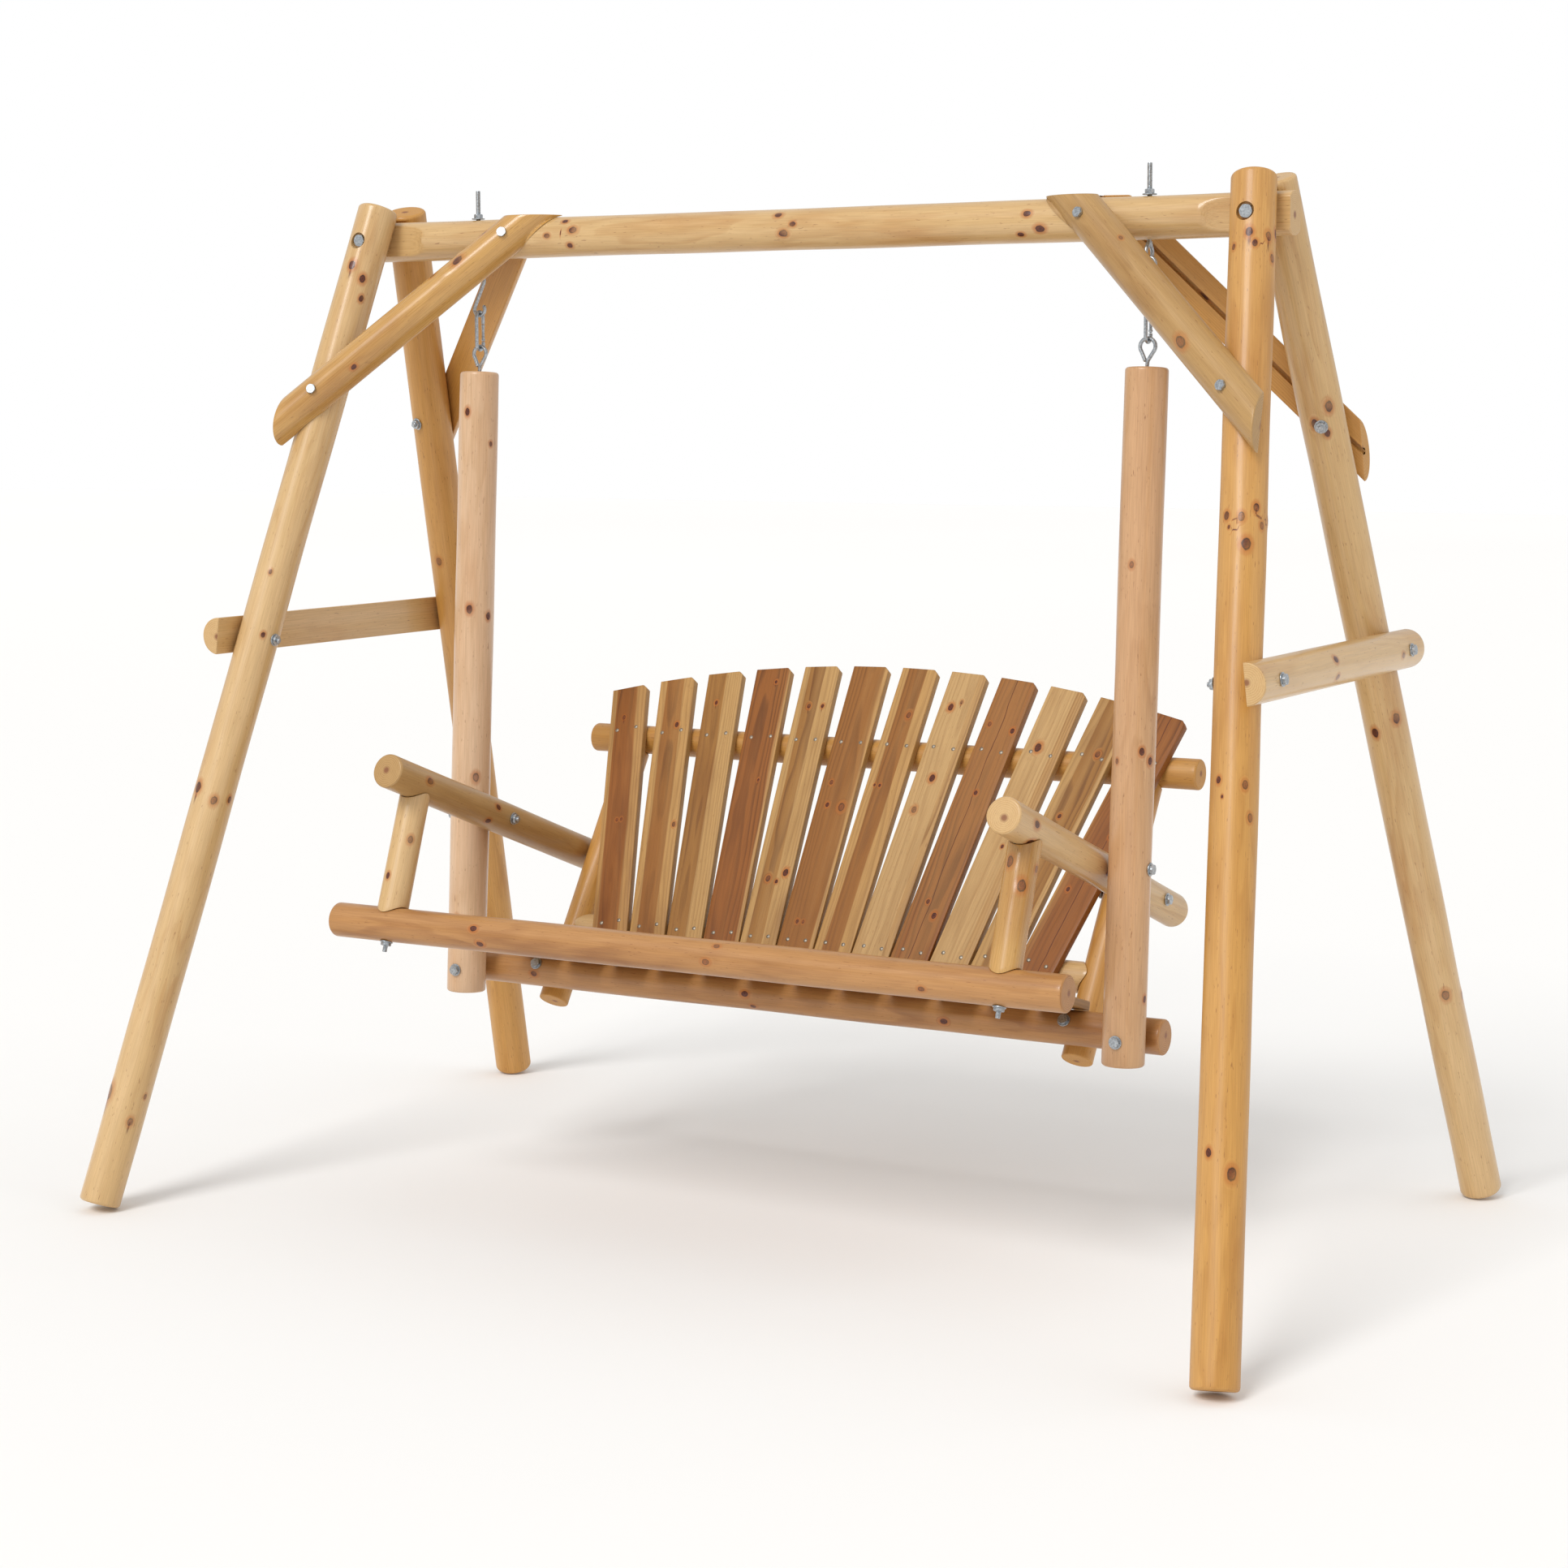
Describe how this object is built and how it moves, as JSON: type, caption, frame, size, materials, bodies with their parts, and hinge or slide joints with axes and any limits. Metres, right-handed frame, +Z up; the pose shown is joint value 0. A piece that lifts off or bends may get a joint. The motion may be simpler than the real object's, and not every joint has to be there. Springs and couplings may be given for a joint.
{
  "type": "porch swing",
  "caption": "Rustic log porch swing: slatted two-seat bench with armrests, hung by hooks and snap links from a splayed A-frame log stand.",
  "frame": {"origin": "on the ground, under the middle of the stand", "axes": "+X to the right for someone who faces the swing, -Y to the front, the way a sitter looks, +Z up"},
  "size_m": [2.0396, 1.2662, 1.6871],
  "materials": {
    "pine_log": "peeled pine logs, clear golden lacquer, satin gloss, dark red-brown knots",
    "fir_slat": "planed fir boards, thin clear coat, red-brown heartwood and pale sapwood bands",
    "zinc_steel": "bright zinc-plated steel"
  },
  "bodies": {
    "stand": {"top_beam": "pine_log", "leg_front_left": "pine_log", "leg_front_right": "pine_log", "leg_rear_left": "pine_log", "leg_rear_right": "pine_log", "brace_front_left": "pine_log", "brace_front_right": "pine_log", "brace_rear_left": "pine_log", "brace_rear_right": "pine_log", "side_rail_left": "pine_log", "side_rail_right": "pine_log", "leg_bolt_left": "zinc_steel", "leg_bolt_right": "zinc_steel", "eye_bolt_left": "zinc_steel", "eye_bolt_right": "zinc_steel"},
    "seat": {"post_left": "pine_log", "post_right": "pine_log", "front_rail": "pine_log", "lower_rail": "pine_log", "rear_seat_rail": "pine_log", "top_back_rail": "pine_log", "upright_left": "pine_log", "upright_right": "pine_log", "armrest_left": "pine_log", "armrest_right": "pine_log", "arm_support_left": "pine_log", "arm_support_right": "pine_log", "seat_slat_01": "fir_slat", "seat_slat_02": "fir_slat", "seat_slat_03": "fir_slat", "seat_slat_04": "fir_slat", "seat_slat_05": "fir_slat", "seat_slat_06": "fir_slat", "seat_slat_07": "fir_slat", "seat_slat_08": "fir_slat", "seat_slat_09": "fir_slat", "seat_slat_10": "fir_slat", "seat_slat_11": "fir_slat", "seat_slat_12": "fir_slat", "back_slat_01": "fir_slat", "back_slat_02": "fir_slat", "back_slat_03": "fir_slat", "back_slat_04": "fir_slat", "back_slat_05": "fir_slat", "back_slat_06": "fir_slat", "back_slat_07": "fir_slat", "back_slat_08": "fir_slat", "back_slat_09": "fir_slat", "back_slat_10": "fir_slat", "back_slat_11": "fir_slat", "back_slat_12": "fir_slat", "eye_screw_left": "zinc_steel", "eye_screw_right": "zinc_steel"},
    "hook_left": {"s_hook_left": "zinc_steel"},
    "hook_right": {"s_hook_right": "zinc_steel"},
    "link_left": {"snap_link_left": "zinc_steel"},
    "link_right": {"snap_link_right": "zinc_steel"},
    "gate_left": {"snap_gate_left": "zinc_steel"},
    "gate_right": {"snap_gate_right": "zinc_steel"}
  },
  "joints": [
    {"name": "hook_left_swing", "type": "hinge", "parent": "stand", "child": "hook_left", "pos_m": [-0.618, 0, 1.5463], "axis": [1, 0, 0], "range_deg": [-25, 25]},
    {"name": "link_left_swing", "type": "hinge", "parent": "hook_left", "child": "link_left", "pos_m": [-0.618, 0, 1.4768], "axis": [1, 0, 0], "range_deg": [-10, 10]},
    {"name": "seat_rock", "type": "hinge", "parent": "link_left", "child": "seat", "pos_m": [-0.618, 0, 1.4248], "axis": [1, 0, 0], "range_deg": [-8, 8]},
    {"name": "gate_left_open", "type": "hinge", "parent": "link_left", "child": "gate_left", "pos_m": [-0.618, 0.0095, 1.4355], "axis": [1, 0, 0], "range_deg": [0, 25], "stiffness_Nm_per_rad": 0.02},
    {"name": "hook_right_swing", "type": "hinge", "parent": "stand", "child": "hook_right", "pos_m": [0.618, 0, 1.5463], "axis": [1, 0, 0], "range_deg": [-25, 25]},
    {"name": "link_right_swing", "type": "hinge", "parent": "hook_right", "child": "link_right", "pos_m": [0.618, 0, 1.4768], "axis": [1, 0, 0], "range_deg": [-10, 10]},
    {"name": "gate_right_open", "type": "hinge", "parent": "link_right", "child": "gate_right", "pos_m": [0.618, 0.0095, 1.4355], "axis": [1, 0, 0], "range_deg": [0, 25], "stiffness_Nm_per_rad": 0.02}
  ],
  "couplings": [
    {"joint": "hook_right_swing", "follows": "hook_left_swing", "ratio": 1},
    {"joint": "link_right_swing", "follows": "link_left_swing", "ratio": 1}
  ]
}
